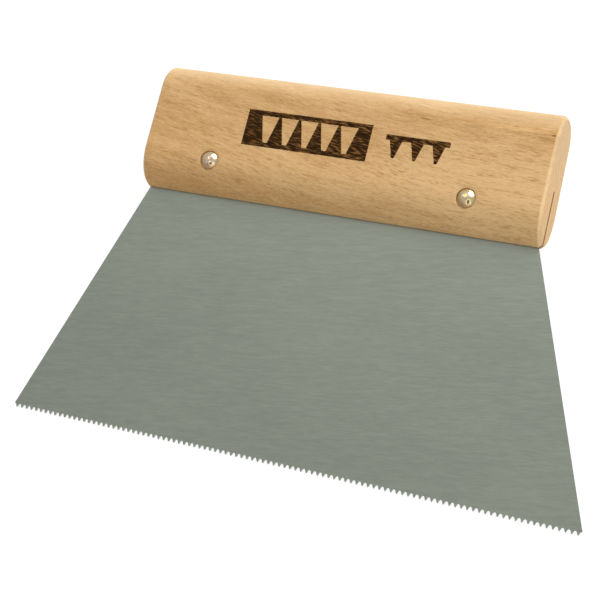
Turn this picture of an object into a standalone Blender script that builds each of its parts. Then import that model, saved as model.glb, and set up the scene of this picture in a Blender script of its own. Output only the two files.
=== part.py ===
# Notched adhesive trowel: beech handle, toothed spring steel blade, two double-cap rivets.
# Lengths are in metres. Every piece is drawn square to the blade: X across it, Y from the
# tooth tips towards the handle, Z out of its front face. An empty then lays the whole tool
# on its back, where it rests on its teeth and on the two rear rivet caps.

import math

import bmesh
import bpy

# blade
bladeWidth = 0.2093                    # across the line of the tooth tips
bladeThick = 0.0008
sideTaper = 0.3723                     # how far each side leans in, per unit of height
toothPitch = 0.002
toothCount = 104
toothTip = 0.0002                      # flat left at the point of a tooth
notchAngle = math.radians(45)
notchRadius = 0.00058                  # round at the bottom of a notch
notchSteps = 6

# handle
handleStart = 0.0878                   # from the tooth tips to the handle's lower edge
handleLength = 0.146
handleHeight = 0.045
lowHalf = 0.0105                       # half thickness where the lower round ends
lowRise = 0.0126
highHalf = 0.0096                      # half thickness where the upper round starts
highRise = 0.0357
roundSteps = 10
endEase = 0.0011                       # eased edge round each end face
kerfDepth = 0.0194
kerfWidth = 0.0014

# rivets: a pin with a domed head in front, a tube with a domed cap behind
rivetX = 0.047
rivetY = 0.0986
headRadius = 0.00325
headRise = 0.0014                      # dome above the rim
headRim = 0.0003
headSunk = 0.0009                      # rim's underside below the wood
pinRadius = 0.0015
tubeInner = 0.0018
tubeOuter = 0.0023
rivetHole = 0.0026
turnSteps = 32
domeSteps = 6

gap = 0.0003                           # clearance between neighbouring pieces
weld = 0.00001

# notch: straight flanks that touch the round at its bottom
notchSlope = 1 / math.tan(notchAngle / 2)
notchHalf = (toothPitch - toothTip) / 2
notchDepth = notchSlope * notchHalf - notchRadius * (math.hypot(1, notchSlope) - 1)
notchTouch = notchRadius * math.cos(notchAngle / 2)
lastTip = (toothCount - 1) * toothPitch / 2

# levels of a rivet head, from the wood's surface at its middle
rivetLow = (handleStart + lowRise - rivetY) / lowRise
woodFace = lowHalf * math.sqrt(1 - rivetLow ** 2)
rimUnder = woodFace - headSunk
rimTop = rimUnder + headRim
seatFloor = rimUnder - gap
domeRadius = (headRadius ** 2 + headRise ** 2) / (2 * headRise)
domeCentre = rimTop + headRise - domeRadius

for old in list(bpy.data.objects):
    bpy.data.objects.remove(old, do_unlink=True)

trowel = bpy.data.collections.new("notched_trowel")
cutters = bpy.data.collections.new("cutters")
bpy.context.scene.collection.children.link(trowel)
bpy.context.scene.collection.children.link(cutters)

lying = bpy.data.objects.new("lying_on_its_back", None)
lying.empty_display_size = 0.02
trowel.objects.link(lying)


def makeMaterial(name, colour, roughness, metallic):
    material = bpy.data.materials.new(name)
    material.use_nodes = True
    shader = material.node_tree.nodes["Principled BSDF"]
    shader.inputs["Base Color"].default_value = (*colour, 1.0)
    shader.inputs["Roughness"].default_value = roughness
    shader.inputs["Metallic"].default_value = metallic
    return material


# mesh of a flat outline, thickened to both sides of its own XY plane
# drawn a thousand times larger, so that the fill keeps the finest points
def extruded(name, outline, thickness):
    enlarged = 1000
    curve = bpy.data.curves.new(name, "CURVE")
    curve.dimensions = "2D"
    curve.fill_mode = "BOTH"
    curve.extrude = thickness / 2 * enlarged
    spline = curve.splines.new("POLY")
    spline.points.add(len(outline) - 1)
    for point, (x, y) in zip(spline.points, outline):
        point.co = (x * enlarged, y * enlarged, 0, 1)
    spline.use_cyclic_u = True
    drawn = bpy.data.objects.new(name + "_outline", curve)
    trowel.objects.link(drawn)
    evaluated = drawn.evaluated_get(bpy.context.evaluated_depsgraph_get())
    mesh = bpy.data.meshes.new_from_object(evaluated)
    bpy.data.objects.remove(drawn, do_unlink=True)
    bm = bmesh.new()
    bm.from_mesh(mesh)
    bmesh.ops.scale(bm, vec=(1 / enlarged, 1 / enlarged, 1 / enlarged), verts=bm.verts)
    bmesh.ops.remove_doubles(bm, verts=bm.verts, dist=weld)
    bm.to_mesh(mesh)
    bm.free()
    return mesh


# line from a turned piece's axis at its top, down its outer side, to the axis at its foot
def turnedLine(name, profile):
    mesh = bpy.data.meshes.new(name)
    points = [(radius, 0, height) for radius, height in profile]
    mesh.from_pydata(points, [(i, i + 1) for i in range(len(points) - 1)], [])
    return mesh


def spinUp(piece):
    screw = piece.modifiers.new("turned", "SCREW")
    screw.axis = "Z"
    screw.steps = turnSteps
    screw.render_steps = turnSteps
    screw.use_merge_vertices = True
    screw.merge_threshold = weld
    screw.use_smooth_shade = True


def addPart(name, mesh, material):
    made = bpy.data.objects.new(name, mesh)
    mesh.materials.clear()
    mesh.materials.append(material)
    made.parent = lying
    trowel.objects.link(made)
    return made


# takes the cutter out of the target, and keeps it as a hidden guide
def cut(target, cutter):
    for collection in list(cutter.users_collection):
        collection.objects.unlink(cutter)
    cutters.objects.link(cutter)
    cutter.parent = lying
    cutter.hide_render = True
    cutter.display_type = "WIRE"
    boolean = target.modifiers.new("less_" + cutter.name, "BOOLEAN")
    boolean.operation = "DIFFERENCE"
    boolean.solver = "EXACT"
    boolean.object = cutter


# cylinder on a rivet's axis, from bottom to top along Z
def roundCutter(name, radius, bottom, top, x):
    bpy.ops.mesh.primitive_cylinder_add(vertices=turnSteps, radius=radius, depth=top - bottom,
                                        location=(x, rivetY, (bottom + top) / 2))
    made = bpy.context.object
    made.name = name
    return made


# quarter ellipse from (half, 0) to (0, rise)
def quarterRound(half, rise):
    angles = [math.pi / 2 * i / roundSteps for i in range(roundSteps + 1)]
    return [(half * math.cos(a), rise * math.sin(a)) for a in angles]


# handle's cross-section: thickness along x, height along y
def handleSection():
    lowTop = handleStart + lowRise
    highFoot = handleStart + highRise
    low = [(x, lowTop - y) for x, y in reversed(quarterRound(lowHalf, lowRise))]
    high = [(x, highFoot + y) for x, y in quarterRound(highHalf, handleHeight - highRise)]
    front = low + high
    back = [(-x, y) for x, y in reversed(front[1:-1])]
    return front + back


# height of the blade's lower edge at a distance from a notch's middle
def notchEdge(offset):
    if abs(offset) > notchTouch:
        return notchSlope * (notchHalf - abs(offset))
    return notchDepth - notchRadius + math.sqrt(notchRadius ** 2 - offset ** 2)


# toothed edge from left to right, then up the side and over the top
def bladeOutline():
    root = [notchTouch * (2 * i / notchSteps - 1) for i in range(notchSteps + 1)]
    teeth = []
    for i in range(toothCount):
        tip = i * toothPitch - lastTip
        teeth += [(tip - toothTip / 2, 0), (tip + toothTip / 2, 0)]
        if i < toothCount - 1:
            teeth += [(tip + toothPitch / 2 + u, notchEdge(u)) for u in root]
    # each side runs into the notch beyond the outermost tooth
    middle = lastTip + toothPitch / 2
    corner = bladeWidth / 2 - sideTaper * notchDepth
    beyond = [u for u in root if middle + u < corner - toothTip / 2] + [corner - middle]
    right = [(middle + u, notchEdge(u)) for u in beyond]
    left = [(-x, y) for x, y in reversed(right)]
    top = handleStart + kerfDepth - gap
    topHalf = bladeWidth / 2 - sideTaper * top
    return left + teeth + right + [(topHalf, top), (-topHalf, top)]


# half a dome, from the axis to the rim
def domeLine():
    reach = math.asin(headRadius / domeRadius)
    angles = [reach * i / domeSteps for i in range(domeSteps + 1)]
    return [(domeRadius * math.sin(a), domeCentre + domeRadius * math.cos(a)) for a in angles]


def pinLine():
    foot = gap - rimUnder
    return domeLine() + [(headRadius, rimUnder), (pinRadius, rimUnder), (pinRadius, foot), (0, foot)]


def capLine():
    mouth = rimUnder - gap
    tube = [(0, -rimUnder), (tubeInner, -rimUnder), (tubeInner, mouth), (tubeOuter, mouth),
            (tubeOuter, -rimUnder), (headRadius, -rimUnder)]
    return tube + [(radius, -height) for radius, height in reversed(domeLine())]


wood = makeMaterial("beech", (0.66, 0.45, 0.26), 0.55, 0.0)
steel = makeMaterial("ground_steel", (0.27, 0.29, 0.27), 0.45, 0.7)
nickel = makeMaterial("nickel_plate", (0.70, 0.67, 0.60), 0.25, 1.0)

handle = addPart("handle", extruded("handle", handleSection(), handleLength), wood)
handle.rotation_euler = (0, math.pi / 2, 0)
ease = handle.modifiers.new("eased_ends", "BEVEL")
ease.width = endEase
ease.segments = 2
ease.limit_method = "ANGLE"
ease.angle_limit = math.radians(60)

bpy.ops.mesh.primitive_cube_add(size=1)
kerf = bpy.context.object
kerf.name = "kerf"
kerf.scale = (handleLength * 1.2, kerfDepth * 2, kerfWidth)
kerf.location = (0, handleStart, 0)
cut(handle, kerf)

blade = addPart("blade", extruded("blade", bladeOutline(), bladeThick), steel)

for side, x in (("left", -rivetX), ("right", rivetX)):
    pin = addPart("rivet_pin_" + side, turnedLine("rivet_pin_" + side, pinLine()), nickel)
    cap = addPart("rivet_cap_" + side, turnedLine("rivet_cap_" + side, capLine()), nickel)
    for piece in (pin, cap):
        piece.location = (x, rivetY, 0)
        spinUp(piece)
    outside = 1.5 * lowHalf
    cut(handle, roundCutter("hole_" + side, rivetHole, -lowHalf, lowHalf, x))
    cut(handle, roundCutter("front_seat_" + side, headRadius + gap, seatFloor, outside, x))
    cut(handle, roundCutter("back_seat_" + side, headRadius + gap, -outside, -seatFloor, x))
    cut(blade, roundCutter("blade_hole_" + side, rivetHole, -lowHalf / 2, lowHalf / 2, x))

for piece in (handle, blade):
    piece.data.shade_smooth()
    piece.data.set_sharp_from_angle(angle=math.radians(30))

# laid on its back: one plane touches the teeth and both rear domes
drop = domeCentre - bladeThick / 2
tilt = math.asin(domeRadius / math.hypot(rivetY, drop)) + math.atan(drop / rivetY)
lying.rotation_euler = (tilt, 0, 0)
bpy.context.view_layer.update()

# origin on that plane, in the middle of the tool's outline
graph = bpy.context.evaluated_depsgraph_get()
solids = [piece.evaluated_get(graph) for piece in trowel.objects if piece.type == "MESH"]
places = [solid.matrix_world @ vertex.co for solid in solids for vertex in solid.data.vertices]
front = min(place.y for place in places)
back = max(place.y for place in places)
lying.location = (0, -(front + back) / 2, -min(place.z for place in places))
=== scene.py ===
# Notched adhesive trowel lying on a pale table:
# a beech handle with a saw kerf, a ground spring steel blade and nickel plated rivets.
# Lengths are millimetres in the tool's own frame unless a comment says otherwise.

import math

import bmesh
import bpy
import numpy as np
from mathutils import Matrix, Vector


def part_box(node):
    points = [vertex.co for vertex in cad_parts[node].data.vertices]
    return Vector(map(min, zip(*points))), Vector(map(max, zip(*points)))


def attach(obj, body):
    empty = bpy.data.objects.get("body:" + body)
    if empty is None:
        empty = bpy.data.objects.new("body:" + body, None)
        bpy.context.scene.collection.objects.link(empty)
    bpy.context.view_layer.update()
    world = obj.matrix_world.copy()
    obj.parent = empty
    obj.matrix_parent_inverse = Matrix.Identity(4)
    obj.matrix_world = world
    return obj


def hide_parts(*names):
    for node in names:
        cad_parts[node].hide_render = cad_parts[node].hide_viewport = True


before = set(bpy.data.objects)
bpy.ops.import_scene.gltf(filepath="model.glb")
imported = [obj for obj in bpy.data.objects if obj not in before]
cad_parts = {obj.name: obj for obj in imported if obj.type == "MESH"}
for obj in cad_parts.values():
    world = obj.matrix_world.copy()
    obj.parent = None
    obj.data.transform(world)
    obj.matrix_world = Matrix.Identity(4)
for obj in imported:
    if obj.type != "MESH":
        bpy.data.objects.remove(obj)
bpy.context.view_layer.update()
print("frame loaded:", ", ".join(sorted(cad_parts)))

scene = bpy.context.scene
metre = 1000.0          # millimetres
sliver = 0.000005       # metres; shorter edges left by a cut are merged


# the tool's own frame, read off the blade:
# x across it, y up it from the tooth tips, z out of its front, which is its largest face
def readToolFrame(blade):
    mesh = blade.data
    corners = np.empty(len(mesh.vertices) * 3)
    mesh.vertices.foreach_get("co", corners)
    corners = corners.reshape(-1, 3)
    normals = np.empty(len(mesh.polygons) * 3)
    mesh.polygons.foreach_get("normal", normals)
    areas = np.empty(len(mesh.polygons))
    mesh.polygons.foreach_get("area", areas)
    outward = normals.reshape(-1, 3)[areas.argmax()]
    outward = outward * np.sign(outward[2])
    up = np.cross(outward, (1.0, 0.0, 0.0))
    levels = corners @ outward
    origin = outward * (levels.min() + levels.max()) / 2 + up * (corners @ up).min()
    return origin, up, outward


toolOrigin, toolUp, toolOut = readToolFrame(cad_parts["blade"])
toolTilt = math.atan2(toolUp[2], toolUp[1])


# tool millimetres to world metres
def place(points):
    points = np.asarray(points) / metre
    across, up, out = points[..., :1], points[..., 1:2], points[..., 2:]
    return toolOrigin + across * (1.0, 0.0, 0.0) + up * toolUp + out * toolOut


# quads of a grid of points, row by row; ringed joins its last column to its first
def gridFaces(rows, columns, ringed=False):
    index = np.arange(rows * columns).reshape(rows, columns)
    if ringed:
        index = np.hstack((index, index[:, :1]))
    corners = (index[:-1, :-1], index[:-1, 1:], index[1:, 1:], index[1:, :-1])
    return np.stack(corners, axis=-1).reshape(-1, 4)


# mesh from points in tool millimetres, its faces turned outwards
def addPiece(name, points, faces, finish):
    mesh = bpy.data.meshes.new(name)
    mesh.from_pydata(place(points).tolist(), [], faces)
    work = bmesh.new()
    work.from_mesh(mesh)
    bmesh.ops.recalc_face_normals(work, faces=work.faces)
    work.to_mesh(mesh)
    work.free()
    mesh.materials.append(finish)
    piece = bpy.data.objects.new(name, mesh)
    scene.collection.objects.link(piece)
    return piece


# smooth, but for edges that turn more than sharpAngle degrees
def shade(piece, sharpAngle):
    piece.data.shade_smooth()
    piece.data.set_sharp_from_angle(angle=math.radians(sharpAngle))


# smooth step from 0 at low to 1 at high
def ease(value, low, high):
    t = np.clip((value - low) / (high - low), 0, 1)
    return t * t * (3 - 2 * t)


# points along a line, crowded where the spacing asked for is small:
# steps of the running sum of length over spacing
def crowd(line, spacing):
    lengths = np.linalg.norm(np.diff(line, axis=0), axis=1)
    middles = (line[1:] + line[:-1]) / 2
    run = np.concatenate(([0], np.cumsum(lengths / spacing(middles))))
    steps = np.linspace(0, run[-1], int(math.ceil(run[-1])) + 1)
    return np.stack([np.interp(steps, run, line[:, i]) for i in range(line.shape[1])], axis=1)


# takes a cylinder on each rivet's axis out of a piece, from z low to z high
def drill(piece, radius, low, high):
    for x in (-rivet["x"], rivet["x"]):
        bpy.ops.mesh.primitive_cylinder_add(vertices=rivet["steps"], radius=radius / metre,
                                            depth=(high - low) / metre)
        drillBit = bpy.context.object
        drillBit.location = place((x, rivet["y"], (high + low) / 2))
        drillBit.rotation_euler = (toolTilt, 0, 0)
        boolean = piece.modifiers.new("hole", "BOOLEAN")
        boolean.operation = "DIFFERENCE"
        boolean.object = drillBit
        evaluated = piece.evaluated_get(bpy.context.evaluated_depsgraph_get())
        mesh = bpy.data.meshes.new_from_object(evaluated)
        piece.modifiers.clear()
        piece.data = mesh
        bpy.data.objects.remove(drillBit, do_unlink=True)
    work = bmesh.new()
    work.from_mesh(piece.data)
    bmesh.ops.remove_doubles(work, verts=work.verts, dist=sliver)
    bmesh.ops.triangulate(work, faces=[face for face in work.faces if len(face.verts) > 4])
    work.to_mesh(piece.data)
    work.free()


# a socket that takes arithmetic: each operation adds its Math node
class Value:
    def __init__(self, finish, socket):
        self.finish = finish
        self.socket = socket

    def __add__(self, other):
        return self.finish.maths("ADD", self, other)

    def __sub__(self, other):
        return self.finish.maths("SUBTRACT", self, other)

    def __rsub__(self, other):
        return self.finish.maths("SUBTRACT", other, self)

    def __mul__(self, other):
        return self.finish.maths("MULTIPLY", self, other)

    def __truediv__(self, other):
        return self.finish.maths("DIVIDE", self, other)

    def __pow__(self, other):
        return self.finish.maths("POWER", self, other)

    def __abs__(self):
        return self.finish.maths("ABSOLUTE", self)

    __radd__ = __add__
    __rmul__ = __mul__

    def least(self, other):
        return self.finish.maths("MINIMUM", self, other)

    def most(self, other):
        return self.finish.maths("MAXIMUM", self, other)

    # 0 at low to 1 at high, smooth in between
    def ramp(self, low, high):
        return self.finish.node("MapRange", {"interpolation_type": "SMOOTHSTEP"},
                                {"Value": self, "From Min": low, "From Max": high})


# one material and the nodes wired into it
class Finish:
    def __init__(self, name, settings):
        self.material = bpy.data.materials.new(name)
        self.material.use_nodes = True
        self.tree = self.material.node_tree
        self.shader = self.tree.nodes["Principled BSDF"]
        for key, value in settings.items():
            self.shader.inputs[key].default_value = value

    # any node: its type, its settings, then the values or links of its sockets
    def node(self, kind, settings, sockets, output=0):
        made = self.tree.nodes.new("ShaderNode" + kind)
        for key, value in settings.items():
            setattr(made, key, value)
        for key, value in sockets.items():
            if isinstance(value, Value):
                self.tree.links.new(value.socket, made.inputs[key])
            else:
                made.inputs[key].default_value = value
        return Value(self, made.outputs[output])

    def maths(self, operation, *values):
        return self.node("Math", {"operation": operation}, dict(enumerate(values)))

    def feed(self, key, value):
        self.tree.links.new(value.socket, self.shader.inputs[key])

    # place on the tool in its own millimetres, whatever way the tool lies
    def toolPlace(self):
        position = self.node("TexCoord", {}, {}, "Object")
        return self.node("Mapping", {"vector_type": "TEXTURE"},
                         {"Vector": position, "Location": toolOrigin,
                          "Rotation": (toolTilt, 0, 0), "Scale": (1 / metre,) * 3})

    def split(self, vector):
        made = self.node("SeparateXYZ", {}, {"Vector": vector}).socket.node
        return [Value(self, output) for output in made.outputs]

    def joined(self, x, y, z):
        return self.node("CombineXYZ", {}, {"X": x, "Y": y, "Z": z})

    # 0 to 1, mostly near a half; waves is how many there are in a unit of x, y and z
    def noise(self, vector, waves, detail, roughness=0.5):
        spread = self.node("VectorMath", {"operation": "MULTIPLY"}, {0: vector, 1: waves})
        return self.node("TexNoise", {"noise_dimensions": "3D"},
                         {"Vector": spread, "Scale": 1.0, "Detail": detail, "Roughness": roughness})

    # colour, with a share of the other laid over it
    def mix(self, share, colour, other):
        full = [c if isinstance(c, Value) else (*c, 1.0) for c in (colour, other)]
        return self.node("Mix", {"data_type": "RGBA"}, {0: share, 6: full[0], 7: full[1]}, 2)

    # bump whose height of 1 stands depth millimetres out
    def bump(self, height, depth):
        sockets = {"Height": height, "Distance": depth / metre, "Strength": 1.0}
        self.feed("Normal", self.node("Bump", {}, sockets))


handle = {
    "start": 87.8,          # tooth tips to the handle's lower edge
    "height": 45.0,
    "lowHalf": 10.5,        # half thickness where the lower round ends
    "lowRise": 12.6,
    "highHalf": 9.6,        # half thickness where the upper round starts
    "highRise": 35.7,
    "ease": 1.1,            # eased edge round each end
    "easeShape": 1.12,      # 1 is a flat chamfer, 2 a round
    "kerfDepth": 19.4,
    "kerfHalf": 0.7,
    "lean": 0.75,           # slope at which the upper round leaves the front face at the right end
    "leanRun": (20.0, 66.0),    # where along the handle the crease starts and where it is full
    "dish": 0.32,           # how far the wood is pressed in at the rivet heads
    "dishRun": 0.9,         # and how far out that reaches
    "seatGap": 0.02,        # between a rivet head and the wood round it
    "within": 0.012,        # true rounds drawn in this much, to stay inside the faceted solid
    "sharp": 22,            # edges that turn more than this many degrees stay crisp
    # spacing of the surface's points: fine round the rivets and at the crease, then growing
    "fineStep": 0.2,
    "fineRun": (4.5, 6.5),  # how far from a rivet's axis it starts to grow and is full
    "step": 0.8,            # across the grain
    "longStep": 1.5,        # along it
    "creaseStep": 0.08,
    "creaseRun": (0.2, 1.2),
    "traceSteps": 400,      # points that a stretch of the section is traced with, before spacing
    "lengthSteps": 3000,
    "kerfSteps": 14,
    "endSteps": 9,
}
handle["length"] = float(np.ptp([corner[0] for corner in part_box("handle")])) * metre


# front half of the handle's section: quarter ellipse below, straight face, quarter ellipse above,
# without what the kerf takes
def handleFront():
    turn = np.linspace(0, math.pi / 2, handle["traceSteps"])[:, None]
    lowTop = handle["start"] + handle["lowRise"]
    highFoot = handle["start"] + handle["highRise"]
    highRise = handle["height"] - handle["highRise"]
    low = np.hstack((handle["lowHalf"] * np.sin(turn), lowTop - handle["lowRise"] * np.cos(turn)))
    high = np.hstack((handle["highHalf"] * np.cos(turn), highFoot + highRise * np.sin(turn)))
    share = np.linspace(0, 1, handle["traceSteps"])[1:-1, None]
    face = low[-1] * (1 - share) + high[0] * share
    line = np.vstack((low, face, high))
    return line[line[:, 0] >= handle["kerfHalf"] * (line[:, 1] < lowTop)]


# spacing that is fine within a rivet's seat and dish, and coarse past them
def nearRivet(places, rivetPlace, coarse):
    away = ease(abs(places - rivetPlace), *handle["fineRun"])
    return handle["fineStep"] + (coarse - handle["fineStep"]) * away


# section as a ring: up the front from the kerf's lip, down the back, and round the kerf,
# with the way inwards at each of its points, square to the outline; the kerf's own walls stay put
def handleRing():
    crease = handle["start"] + handle["highRise"]

    def spacing(middles):
        byRivet = nearRivet(middles[:, 1], rivet["y"], handle["step"])
        away = ease(abs(middles[:, 1] - crease), *handle["creaseRun"])
        byCrease = handle["creaseStep"] + (handle["step"] - handle["creaseStep"]) * away
        return np.minimum(byRivet, byCrease)

    front = crowd(handleFront(), spacing)
    back = front[-2::-1] * (-1, 1)
    outer = np.vstack((front, back))
    rise = np.linspace(0, 1, handle["kerfSteps"])[1:, None]
    lip = outer[-1]
    roof = handle["start"] + handle["kerfDepth"]
    up = np.hstack((np.full_like(rise, lip[0]), lip[1] + (roof - lip[1]) * rise))
    down = up[::-1] * (-1, 1)
    slope = np.gradient(outer, axis=0)
    slope /= np.linalg.norm(slope, axis=1, keepdims=True)
    inward = np.stack((-slope[:, 1], slope[:, 0]), axis=1)
    ring = np.vstack((outer, up, down))
    return ring, np.vstack((inward, np.zeros((len(ring) - len(outer), 2))))


# wood pressed in round a rivet head, a dish that is deepest at the head's edge
def pressDishes(points):
    x, y, z = points[..., 0], points[..., 1], points[..., 2]
    away = np.hypot(abs(x) - rivet["x"], y - rivet["y"])
    rim = rivet["headRadius"]
    dish = handle["dish"] * (1 - ease(away, rim, rim + handle["dishRun"]))
    points[..., 2] = z - np.sign(z) * dish * (abs(z) > handle["lowHalf"] / 2)
    return points


# towards the right end the upper round leaves the front face at an angle, which makes a crease:
# the surface drops by lean times the height above the crease, times the square of the share
# of the round still to come
def leanUpperRound(points):
    x, y, z = points[..., 0], points[..., 1], points[..., 2]
    rise = handle["height"] - handle["highRise"]
    above = np.clip(y - handle["start"] - handle["highRise"], 0, rise)
    drop = handle["lean"] * ease(x, *handle["leanRun"]) * above * (1 - above / rise) ** 2
    points[..., 2] = z - drop * (z > 0)
    return points


# section ring carried along the length; its outer side draws in near each end on a superellipse
def makeHandle(finish):
    half = handle["length"] / 2
    reach = handle["ease"]

    def spacing(middles):
        return nearRivet(abs(middles[:, 0]), rivet["x"], handle["longStep"])

    turn = np.linspace(0, math.pi / 2, handle["endSteps"])
    power = 2 / handle["easeShape"]
    endIn = reach * (1 - np.sin(turn) ** power)      # distance from the end face
    drawIn = reach * (1 - np.cos(turn) ** power)     # how far the outside draws in there
    length = np.linspace(-half + reach, half - reach, handle["lengthSteps"])[:, None]
    middle = crowd(length, spacing)[:, 0]
    stations = np.concatenate((-half + endIn[::-1], middle[1:-1], half - endIn))
    inset = np.concatenate((drawIn[::-1], np.zeros(len(middle) - 2), drawIn)) + handle["within"]
    ring, inward = handleRing()
    section = ring[None] + inward[None] * inset[:, None, None]
    points = np.empty((len(stations), len(ring), 3))
    points[..., 0] = stations[:, None]
    points[..., 1] = section[..., 1]
    points[..., 2] = section[..., 0]
    points = leanUpperRound(pressDishes(points))
    faces = gridFaces(len(stations), len(ring), ringed=True).tolist()
    last = (len(stations) - 1) * len(ring)
    faces.append(list(range(len(ring))))
    faces.append([last + i for i in range(len(ring))])
    piece = addPiece("beech_handle", points.reshape(-1, 3), faces, finish)
    floor = rivet["under"] - rivet["gap"]
    outside = 2 * handle["lowHalf"]
    drill(piece, rivet["hole"], -outside, outside)
    drill(piece, rivet["headRadius"] + handle["seatGap"], floor, outside)
    drill(piece, rivet["headRadius"] + handle["seatGap"], -outside, -floor)
    shade(piece, handle["sharp"])
    return piece


# beech: honey brown, with soft patches, short dark flecks and fine fibres that run a little
# downhill, steeper at the left. Painted light makes it paler at the top, on the eased edges and
# on the end faces; painted shade darkens it up the front face, at the lower edge, along the crease
# and on the kerf walls. It has ring arcs and pores on its end grain, and bears two burnt marks.
beechLook = {
    "pale": (0.655, 0.428, 0.203),
    "honey": (0.49, 0.276, 0.106),
    # painted light on the top, the eased edges and the end faces
    "cream": (0.74, 0.54, 0.32),
    "fleck": (0.27, 0.13, 0.045),
    "kerfWallShade": (0.26, 0.135, 0.05),    # painted shade on the kerf walls
    "char": (0.022, 0.0095, 0.0015),
    "scorch": (0.23, 0.10, 0.028),
    "slant": 0.15,          # downhill run of the grain at the middle
    "slantFall": 0.0006,    # how much straighter it gets per millimetre to the right
    "wander": 5,            # and how far it strays from that line
    # layers of noise: waves per millimetre along the grain, across it and through it, then detail
    # and, where it isn't a half, roughness
    "drift": ((0.02, 0.05, 0.05), 1.0),
    "patch": ((0.03, 0.15, 0.15), 2.0),
    "band": ((0.05, 0.62, 0.62), 2.0),
    "fibre": ((0.22, 2.2, 2.2), 4.0, 0.74),
    "speck": ((0.8, 3.6, 3.6), 2.0, 0.7),
    "dash": ((0.42, 3.2, 3.2), 1.5),
    "streak": ((0.16, 1.5, 1.5), 1.0),
    "wobble": ((0.05, 0.25, 0.25), 2.0),
    "pores": ((0.5, 4.5, 4.5), 2.0, 0.7),
    "ragged": ((1.6, 1.6, 1.6), 2.0),
    "scar": ((0.4, 2.0, 2.0), 2.0),
    # how much of the darkening comes from each
    "darkening": {"patch": 0.36, "band": 0.2, "fibre": 0.62, "speck": 0.32},
    "leftDarker": 0.0012,   # per millimetre to the left, low on the handle
    # darker dashes: middle, height above the lower edge, half length, half width,
    # run downhill, strength
    "dashes": (
        (27.5, 35.6, 2.2, 0.30, 0.13, 0.8),
        (23.5, 16.2, 1.3, 0.20, 0.13, 0.7),
        (-24.5, 14.0, 1.6, 0.22, 0.13, 0.6),
        (71.3, 35.5, 0.8, 0.40, 0.0, 0.95),
        # painted shade: a faint darker line along the crease at the right end
        (66.5, 35.5, 6.0, 0.22, 0.0, 0.22),
    ),
    "ringWidth": 2.6,
    "pith": (70.0, -60.0),  # height above the handle's lower edge, and depth behind its middle
    # burnt marks: left, right, low, high
    "panel": (-36.3, 9.9, 17.9, 31.0),
    "bar": (15.3, 38.0, 26.6, 28.5),
    # rows of teeth in them: the same, then how many, width at the point and width at the root
    "panelTeeth": (-31.4, 5.4, 19.6, 29.2, 5, 1.6, 6.4),
    "barTeeth": (15.3, 38.0, 20.4, 28.5, 3, 0.9, 5.6),
    "raggedBy": 0.35,       # how far a mark's edge strays
    "soft": 0.12,           # half width of its fading
}


# 1 where the wood is burnt: a field with a row of pale teeth left standing in it,
# and beside it a small row of dark teeth that hangs from a bar
def burntMarks(wood, spot, x, height):
    soft = beechLook["soft"]
    stray = (wood.noise(spot, *beechLook["ragged"]) - 0.5) * beechLook["raggedBy"]
    x = x + stray
    height = height + stray

    def within(value, low, high):
        return value.ramp(low - soft, low + soft) * (1 - value.ramp(high - soft, high + soft))

    def field(left, right, low, high):
        return within(x, left, right) * within(height, low, high)

    # 1 on a row of teeth that point down: where half a tooth's width at this height is more
    # than the way to its middle
    def teeth(left, right, low, high, count, point, root):
        pitch = (right - left) / count
        off = abs(wood.maths("FRACT", (x - left) / pitch) - 0.5) * pitch
        reach = (height - low) / (high - low) * (root - point) / 2 + point / 2
        return (reach - off).ramp(-soft, soft) * field(left, right, low, high)

    panel = field(*beechLook["panel"]) * (1 - teeth(*beechLook["panelTeeth"]))
    return panel.most(teeth(*beechLook["barTeeth"])).most(field(*beechLook["bar"]))


# ring arcs round a distant pith and fine dark pores, for the end faces
def endGrain(wood, spot, height, z):
    pithHeight, pithDepth = beechLook["pith"]
    up = height - pithHeight
    out = z - pithDepth
    wobble = wood.noise(spot, *beechLook["wobble"])
    ring = wood.maths("FRACT", (up * up + out * out) ** 0.5 / beechLook["ringWidth"] + wobble * 0.8)
    arcs = ring.ramp(0.2, 0.85) * (1 - ring.ramp(0.88, 1.0))
    pores = wood.noise(spot, *beechLook["pores"]).ramp(0.52, 0.72)
    return arcs * 0.14 + pores * 0.3


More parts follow.
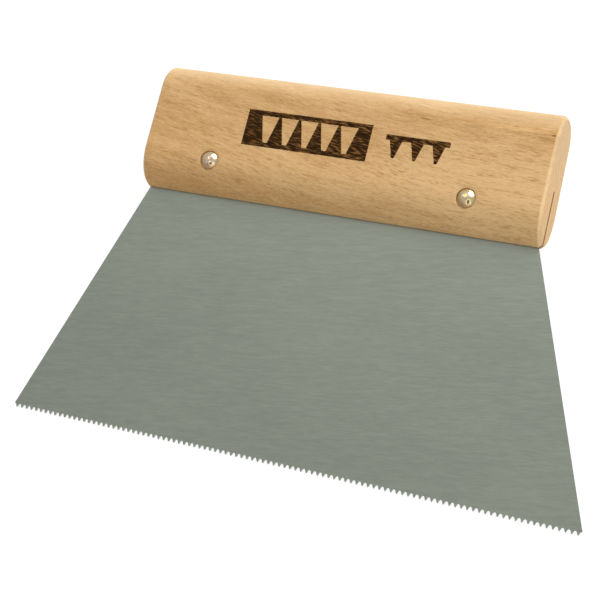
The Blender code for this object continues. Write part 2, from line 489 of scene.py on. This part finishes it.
def beechFinish():
    wood = Finish("beech", {"Roughness": 0.55, "Specular IOR Level": 0.06})
    spot = wood.toolPlace()
    x, y, z = wood.split(spot)
    height = y - handle["start"]
    drift = (wood.noise(spot, *beechLook["drift"]) - 0.5) * beechLook["wander"]
    across = height + x * beechLook["slant"] - x * x * beechLook["slantFall"] + drift
    grain = wood.joined(x, across, z)

    layers = {name: wood.noise(grain, *beechLook[name]) for name in beechLook["darkening"]}
    tone = sum(layers[name] * weight for name, weight in beechLook["darkening"].items())
    tone = tone - x * beechLook["leftDarker"] * (1 - height.ramp(18, 36))
    # painted light and shade: palest a little above the lower edge, darker up the front face and at
    # the lower edge itself
    tone = tone + height.ramp(10, 36) * 0.10 - height.ramp(2, 9) * 0.08 - 0.04
    colour = wood.mix(tone.ramp(0.50, 0.88), beechLook["pale"], beechLook["honey"])
    crowding = 0.35 + layers["band"].ramp(0.35, 0.65) * 0.65
    fleck = wood.noise(grain, *beechLook["dash"]).ramp(0.50, 0.66) * crowding
    streak = wood.noise(grain, *beechLook["streak"]).ramp(0.58, 0.80)
    colour = wood.mix((fleck * 0.42 + streak * 0.34).least(0.75), colour, beechLook["fleck"])
    for middle, level, halfLength, halfWidth, downhill, strength in beechLook["dashes"]:
        along = (x - middle) / halfLength
        aside = (height - level + (x - middle) * downhill) / halfWidth
        near = 1 - (along * along + aside * aside).ramp(0.2, 1.4)
        colour = wood.mix(near * strength * z.ramp(6.0, 7.0), colour, beechLook["fleck"])

    # painted light: eased edges, the top and the end faces paler; then the end grain, and painted
    # shade on the kerf walls
    end = abs(x) - (handle["length"] / 2 - handle["ease"])
    eased = end.ramp(-0.1, 0.3) * (1 - end.ramp(0.92, 1.0) * 0.75)
    endFace = end.ramp(0.95, 1.05)
    # painted light: paler where the light falls on the eased edges, the top round and the end faces
    paintedLight = (eased * 0.5).most(height.ramp(36, 44) * 0.55).most(endFace * height.ramp(5, 35) * 0.5)
    colour = wood.mix(paintedLight, colour, beechLook["cream"])
    colour = wood.mix(endFace * endGrain(wood, spot, height, z), colour, beechLook["fleck"])
    # painted shade on the kerf's walls and roof
    roof = handle["kerfDepth"]
    kerf = (1 - abs(z).ramp(0.72, 0.90)) * (1 - height.ramp(roof, roof + 0.3))
    colour = wood.mix(kerf * 0.85, colour, beechLook["kerfWallShade"])

    burnt = burntMarks(wood, spot, x, height) * z.ramp(7.0, 7.5)
    scar = wood.noise(grain, *beechLook["scar"]).ramp(0.46, 0.72) * (0.6 + x.ramp(-40, 12) * 0.4)
    ember = wood.mix(scar, beechLook["char"], beechLook["scorch"])
    wood.feed("Base Color", wood.mix(burnt, colour, ember))
    wood.feed("Roughness", 0.48 + layers["fibre"] * 0.16 + burnt * 0.2)
    wood.bump(layers["fibre"] * 0.5 - fleck * 0.5 - burnt * 1.6, 0.06)
    return wood.material


rivet = {
    "x": 47.0,
    "y": 98.6,
    "headRadius": 3.25,
    "headRise": 1.4,        # dome above the rim
    "rim": 0.3,
    "sunk": 0.9,            # rim's underside below the wood
    "rimFlare": 0.02,       # rolled rim: how far its widest line stands out,
    "rimHeight": 0.12,      # how high that line is above the underside,
    "rimTuck": 0.08,        # and how far the underside draws in
    "pinRadius": 1.5,
    "tubeInner": 1.8,
    "tubeOuter": 2.3,
    "hole": 2.6,
    "gap": 0.3,
    "steps": 96,
    "domeSteps": 18,
    "sharp": 40,
}
# wood's surface at a rivet, on the lower quarter ellipse
lowness = (handle["start"] + handle["lowRise"] - rivet["y"]) / handle["lowRise"]
rivet["under"] = handle["lowHalf"] * math.sqrt(1 - lowness ** 2) - rivet["sunk"]


# half a dome from the axis down to its rim, as radius and height
def domeLine():
    ball = (rivet["headRadius"] ** 2 + rivet["headRise"] ** 2) / (2 * rivet["headRise"])
    reach = math.asin(rivet["headRadius"] / ball)
    turn = np.linspace(0, reach, rivet["domeSteps"])
    centre = rivet["under"] + rivet["rim"] + rivet["headRise"] - ball
    return np.stack((ball * np.sin(turn), centre + ball * np.cos(turn)), axis=1)


# profile of radius and height turned round a rivet's axis, poles closed by one point each;
# a dent sinks the dome by its depth times a bell curve of the way from its middle
def makeTurned(name, profile, x, dents, finish):
    turn = np.linspace(0, 2 * math.pi, rivet["steps"], endpoint=False)
    body = profile[1:-1]
    ringX = body[:, :1] * np.cos(turn)
    ringY = body[:, :1] * np.sin(turn)
    ringZ = np.broadcast_to(body[:, 1:], ringX.shape)
    points = np.stack((ringX, ringY, ringZ), axis=-1).reshape(-1, 3)
    poles = np.array([(0, 0, profile[0, 1]), (0, 0, profile[-1, 1])])
    points = np.vstack((points, poles))
    outer = abs(points[:, 2]) > rivet["under"] + rivet["rim"] * 0.5
    for dentX, dentY, size, depth in dents:
        away = np.hypot(points[:, 0] - dentX, points[:, 1] - dentY)
        points[:, 2] -= np.sign(points[:, 2]) * depth * np.exp(-(away / size) ** 2) * outer
    points += (x, rivet["y"], 0)
    rows = len(body)
    steps = rivet["steps"]
    faces = gridFaces(rows, steps, ringed=True).tolist()
    first = np.arange(steps)
    after = np.roll(first, -1)
    last = first + (rows - 1) * steps
    lastAfter = after + (rows - 1) * steps
    faces += np.stack((first, after, np.full(steps, rows * steps)), axis=1).tolist()
    faces += np.stack((last, lastAfter, np.full(steps, rows * steps + 1)), axis=1).tolist()
    piece = addPiece(name, points, faces, finish)
    shade(piece, rivet["sharp"])
    return piece


# a few hammer knocks on each front dome: place, size and depth
knocks = {
    "left": ((1.25, -1.15, 0.34, 0.34), (-0.9, 0.7, 0.9, 0.07), (0.2, -1.8, 0.7, 0.06)),
    "right": ((1.3, -1.0, 0.26, 0.30), (1.2, -1.5, 0.28, 0.34),
              (-0.4, 1.1, 0.9, 0.07), (-1.3, -0.6, 0.7, 0.05)),
}


# each rivet: a pin with a domed head in front, and a tube with a domed head behind that takes it
def makeRivets(finish):
    under = rivet["under"]
    mouth = under - rivet["gap"]
    edge = rivet["headRadius"]
    dome = domeLine()
    rim = np.array([(edge + rivet["rimFlare"], under + rivet["rimHeight"]),
                    (edge - rivet["rimTuck"], under)])
    shank = [(rivet["pinRadius"], under), (rivet["pinRadius"], -mouth), (0, -mouth)]
    pin = np.vstack((dome, rim, shank))
    bore = [(0, -under), (rivet["tubeInner"], -under), (rivet["tubeInner"], mouth),
            (rivet["tubeOuter"], mouth), (rivet["tubeOuter"], -under)]
    cap = np.vstack((bore, (rim * (1, -1))[::-1], (dome * (1, -1))[::-1]))
    made = []
    for side, x in (("left", -rivet["x"]), ("right", rivet["x"])):
        front = makeTurned("rivet_front_" + side, pin, x, knocks[side], finish)
        back = makeTurned("rivet_back_" + side, cap, x, (), finish)
        made += [(front, "rivet_pin_" + side), (back, "rivet_cap_" + side)]
    return made


# plated rivets: bright nickel, tinted straw, pink and green by its passivation in small clouds,
# dull in its scuffs, with brown grime round the rim and painted shade that reaches further in at
# the lower left
nickelLook = {
    "nickel": (0.82, 0.68, 0.50),
    "straw": (0.88, 0.69, 0.27),
    "pink": (0.84, 0.48, 0.33),
    "green": (0.48, 0.62, 0.42),
    # brown grime round the rim, and painted shade at the lower left
    "grimeAndShade": (0.42, 0.25, 0.11),
    "pit": (0.05, 0.04, 0.025),
    # layers of noise, as for the beech
    "strawCloud": ((0.75, 0.75, 0.75), 2.0),
    "pinkCloud": ((1.1, 0.9, 1.2), 1.0),
    "greenCloud": ((0.9, 1.3, 0.8), 1.0),
    "scuff": ((2.2, 2.2, 2.2), 3.0, 0.6),
    "clearMiddle": (0.7, 0.9),    # middle of a head's part without grime and painted shade, from its axis
    "grimeAndShadeRun": (2.6, 4.3),     # how far from there the grime and painted shade start and are full
    # dark pits in the front heads: x, height from the rivet's axis, half width, half height
    "pits": ((-45.75, -1.35, 0.38, 0.36), (-46.75, -1.75, 0.22, 0.22), (48.2, -1.35, 0.26, 0.75)),
}


def nickelFinish():
    nickel = Finish("nickel_plate", {"Metallic": 1.0, "Roughness": 0.25})
    spot = nickel.toolPlace()
    x, y, z = nickel.split(spot)
    strawCloud = nickel.noise(spot, *nickelLook["strawCloud"]).ramp(0.42, 0.62)
    pinkCloud = nickel.noise(spot, *nickelLook["pinkCloud"]).ramp(0.50, 0.64)
    greenCloud = nickel.noise(spot, *nickelLook["greenCloud"]).ramp(0.52, 0.66)
    scuff = nickel.noise(spot, *nickelLook["scuff"])
    right = x.ramp(-1.0, 1.0)       # the right rivet is more straw and green, the left one pinker
    straw = (strawCloud * (0.45 + right * 0.5)).most(right * 0.45)
    colour = nickel.mix(straw, nickelLook["nickel"], nickelLook["straw"])
    colour = nickel.mix(pinkCloud * (0.85 - right * 0.3), colour, nickelLook["pink"])
    colour = nickel.mix(greenCloud * (0.4 + right * 0.4), colour, nickelLook["green"])

    clearX, clearY = nickelLook["clearMiddle"]
    across = (abs(x) - rivet["x"]) * (x / abs(x)) - clearX
    up = y - rivet["y"]
    level = up - clearY
    reach = (across * across + level * level) ** 0.5
    # grime round the rim, with painted shade reaching further in at the lower left
    grimeAndShade = (reach + scuff * 1.2).ramp(*nickelLook["grimeAndShadeRun"])
    colour = nickel.mix(grimeAndShade * 0.85, colour, nickelLook["grimeAndShade"])
    for pitX, pitY, halfWidth, halfHeight in nickelLook["pits"]:
        aside = (x - pitX) / halfWidth
        above = (up - pitY) / halfHeight
        pit = 1 - (aside * aside + above * above).ramp(0.5, 1.5)
        colour = nickel.mix(pit * z.ramp(0.0, 1.0) * 0.9, colour, nickelLook["pit"])
    nickel.feed("Base Color", colour)
    nickel.feed("Roughness", 0.15 + scuff.ramp(0.4, 0.7) * 0.16 + grimeAndShade * 0.25)
    nickel.bump(scuff, 0.05)
    return nickel.material


blade = {
    "width": 209.3,         # across the line of the tooth tips
    "half": 0.4,            # half thickness
    "taper": 0.3723,        # how far each side leans in, per unit of height
    "pitch": 2.0,
    "teeth": 104,
    "tip": 0.2,             # flat left at a tooth's point
    "notchAngle": 45.0,
    "notchRadius": 0.58,
    "burr": 0.05,           # broken edge all round
    "top": handle["start"] + handle["kerfDepth"] - rivet["gap"],
    "within": 0.002,        # lower corners drawn in this much, to stay inside the solid
    "rootSteps": 13,        # points round the bottom of a notch
    "closeRows": (2.4, 26.0, 10),   # rows above the teeth: first height, last height, how many
    "wideRows": (34.0, 9),  # rows from there to the top: first height, how many
    "sharp": 30,
}
# where the round at a notch's bottom meets its flanks, and how deep that makes the notch
notchTurn = math.radians(blade["notchAngle"]) / 2
blade["slope"] = 1 / math.tan(notchTurn)
blade["notchHalf"] = (blade["pitch"] - blade["tip"]) / 2
blade["touch"] = blade["notchRadius"] * math.cos(notchTurn)
blade["depth"] = (blade["slope"] * blade["notchHalf"]
                  - blade["notchRadius"] * (math.hypot(1, blade["slope"]) - 1))


# blade's lower edge over x: an arc in the middle of each notch, straight flanks, flat tips
def toothEdge(x):
    turn = (x / blade["pitch"] + blade["teeth"] % 2 / 2) % 1
    off = np.minimum(turn, 1 - turn) * blade["pitch"]      # from the nearest notch's middle
    radius = blade["notchRadius"]
    flank = blade["slope"] * (blade["notchHalf"] - off)
    arc = blade["depth"] - radius + np.sqrt(np.maximum(radius ** 2 - off ** 2, 0))
    return np.maximum(np.where(off > blade["touch"], flank, arc), 0)


# columns at every bend of the toothed edge, rows up the blade; each row is drawn in
# as far as the sides have leaned in at its height
def makeBlade(finish):
    touch, half = blade["touch"], blade["notchHalf"]
    bends = np.concatenate(([-half], np.linspace(-touch, touch, blade["rootSteps"]), [half]))
    notches = (np.arange(blade["teeth"] + 1) - blade["teeth"] / 2) * blade["pitch"]
    corner = blade["width"] / 2 - blade["taper"] * blade["depth"] - blade["within"]
    columns = (notches[:, None] + bends).ravel()
    columns = columns[abs(columns) < corner - blade["burr"]]
    columns = np.concatenate(([-corner], columns, [corner]))
    low = toothEdge(columns)
    slope = np.gradient(low, columns)
    slant = np.hypot(slope, 1)
    wideFoot, wideCount = blade["wideRows"]
    wide = np.linspace(wideFoot, blade["top"], wideCount)
    heights = np.concatenate(([0, 0], np.linspace(*blade["closeRows"]), wide))
    y = np.where(heights[:, None] > 0, heights[:, None], low)
    x = np.broadcast_to(columns, y.shape).copy()
    burr = blade["burr"]
    x[1] -= burr * slope / slant
    y[1] += burr / slant
    side = blade["width"] / 2 - blade["taper"] * y
    sideLow = blade["width"] / 2 - blade["taper"] * low
    x *= side / sideLow
    # a broken edge: the border drops back from the face, and a second line runs just inside it
    x = np.hstack((x[:, :1], x[:, :1] + burr, x[:, 1:-1], x[:, -1:] - burr, x[:, -1:]))
    y = np.hstack((y[:, :1], y[:, :1], y[:, 1:-1], y[:, -1:], y[:, -1:]))
    z = np.full_like(x, blade["half"])
    z[0] -= burr
    z[-1] -= burr
    z[1:-1, (0, -1)] -= burr
    rows, count = x.shape
    face = np.stack((x, y, z), axis=-1).reshape(-1, 3)
    points = np.vstack((face, face * (1, 1, -1)))
    faces = gridFaces(rows, count)
    index = np.arange(rows * count).reshape(rows, count)
    border = np.concatenate((index[0], index[1:, -1], index[-1, -2::-1], index[-2:0:-1, 0]))
    onward = np.roll(border, -1)
    wall = np.stack((border, onward, onward + rows * count, border + rows * count), axis=1)
    faces = np.vstack((faces, faces + rows * count, wall)).tolist()
    piece = addPiece("steel_blade", points, faces, finish)
    drill(piece, rivet["hole"], -handle["lowHalf"] / 2, handle["lowHalf"] / 2)
    shade(piece, blade["sharp"])
    return piece


# ground spring steel: grey with a green cast, long fine grinding lines nearly along
# the blade, cloudy patches, and painted shade along its sides and where it sits in the kerf
steelLook = {
    "light": (0.370, 0.394, 0.330),
    "dark": (0.308, 0.333, 0.278),
    # painted shade along the blade's sides
    "sideShade": (0.08, 0.08, 0.075),
    "bladeKerfShade": (0.17, 0.10, 0.05),    # painted shade where the blade sits in the kerf
    "grindTurn": -0.14,     # grinding lines climb to the right
    # layers of noise, as for the beech, and how much of the tone comes from each
    "cloud": ((0.018, 0.035, 0.02), 3.0),
    "soft": ((0.11, 1.0, 1.0), 2.0),
    "fine": ((0.28, 3.4, 3.4), 3.0, 0.65),
    "tone": {"cloud": 0.3, "soft": 0.3, "fine": 0.6},
}


def steelFinish():
    steel = Finish("ground_steel", {"Metallic": 1.0, "Roughness": 0.42})
    x, y, z = steel.split(steel.toolPlace())
    lines = steel.joined(x, y + x * steelLook["grindTurn"], z)
    layers = {name: steel.noise(lines, *steelLook[name]) for name in steelLook["tone"]}
    tone = sum(layers[name] * weight for name, weight in steelLook["tone"].items())
    colour = steel.mix(tone.ramp(0.42, 0.80), steelLook["dark"], steelLook["light"])
    fromSide = blade["width"] / 2 - blade["taper"] * y - abs(x)
    # painted shade along the blade's sides
    colour = steel.mix((1 - fromSide.ramp(0.0, 0.3)) * 0.35, colour, steelLook["sideShade"])
    # painted shade on the blade where it sits in the kerf
    covered = y.ramp(handle["start"] + 0.1, handle["start"] + 0.8)
    colour = steel.mix(covered * 0.6, colour, steelLook["bladeKerfShade"])
    steel.feed("Base Color", colour)
    steel.feed("Roughness", 0.36 + layers["fine"] * 0.14)
    steel.bump(layers["fine"] * 0.7 + layers["soft"] * 0.3, 0.012)
    return steel.material


beech = beechFinish()
steel = steelFinish()
nickel = nickelFinish()
print("finishes wired")

pieces = [(makeHandle(beech), "handle", "handle")]
print("handle made")
pieces.append((makeBlade(steel), "blade", "blade"))
print("blade made")
pieces += [(piece, node, "rivet") for piece, node in makeRivets(nickel)]
print("rivets made")
for piece, node, slot in pieces:
    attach(piece, "root")
    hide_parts(node)


# lit from within like a photographer's light table, so that only a faint shadow shows
table = {
    "size": 14.0,           # metres
    "colour": (0.26, 0.26, 0.26),
    "grain": (0.25, 0.25, 0.25),
    "waves": (40, 40, 40),  # per metre
    "glow": 0.80,
}


def makeTable():
    bpy.ops.mesh.primitive_plane_add(size=table["size"])
    floor = bpy.context.object
    floor.name = "light_table"
    paint = Finish("pale_table", {"Roughness": 0.6, "Emission Strength": table["glow"]})
    spot = paint.node("TexCoord", {}, {}, "Object")
    grain = paint.noise(spot, table["waves"], 2.0)
    paint.feed("Base Color", paint.mix(grain, table["colour"], table["grain"]))
    paint.shader.inputs["Emission Color"].default_value = (1.0, 1.0, 1.0, 1.0)
    floor.data.materials.append(paint.material)


# soft studio light: where each panel hangs round the tool, its size in metres and its power
lights = {
    "back_right": {"from": (1.10, 2.15, 1.6), "size": 2.0, "power": 73},
    "front_right": {"from": (0.9, -1.5, 1.4), "size": 1.8, "power": 12},
    "overhead": {"from": (-0.55, 0.62, 1.5), "size": 0.7, "power": 2.0},
}
room = {"colour": (0.98, 0.99, 1.0), "strength": 0.56}


def makeLights():
    for name, panel in lights.items():
        lamp = bpy.data.lights.new(name, "AREA")
        lamp.shape = "SQUARE"
        lamp.size = panel["size"]
        lamp.energy = panel["power"]
        hung = bpy.data.objects.new(name, lamp)
        hung.location = panel["from"]
        hung.rotation_euler = turnTo(-np.array(panel["from"])).to_euler()
        scene.collection.objects.link(hung)
    world = bpy.data.worlds.new("studio")
    world.use_nodes = True
    background = world.node_tree.nodes["Background"]
    background.inputs["Color"].default_value = (*room["colour"], 1.0)
    background.inputs["Strength"].default_value = room["strength"]
    scene.world = world


# turn that points -Z along a direction
def turnTo(direction):
    return Vector(direction).to_track_quat("-Z", "Y")


# camera: aimed at a point on the blade from a distance, both in metres;
# its bearing, rise and roll are degrees
view = {
    "aim": (-0.0054, -0.0094, 0.0066),
    "distance": 0.5005,
    "bearing": 57.956,
    "rise": 64.508,
    "roll": -44.884,
    "lens": 87.66,
}


def makeCamera():
    bearing = math.radians(view["bearing"])
    rise = math.radians(view["rise"])
    level = math.cos(rise)
    away = np.array((level * math.sin(bearing), -level * math.cos(bearing), math.sin(rise)))
    lens = bpy.data.cameras.new("camera")
    lens.lens = view["lens"]
    camera = bpy.data.objects.new("camera", lens)
    camera.location = np.array(view["aim"]) + away * view["distance"]
    turn = turnTo(-away).to_matrix()
    roll = Matrix.Rotation(math.radians(view["roll"]), 3, "Z")
    camera.rotation_euler = (turn @ roll).to_euler()
    scene.collection.objects.link(camera)
    scene.camera = camera


makeTable()
makeLights()
makeCamera()
scene.view_settings.view_transform = "Standard"
print("table, lights and camera set")
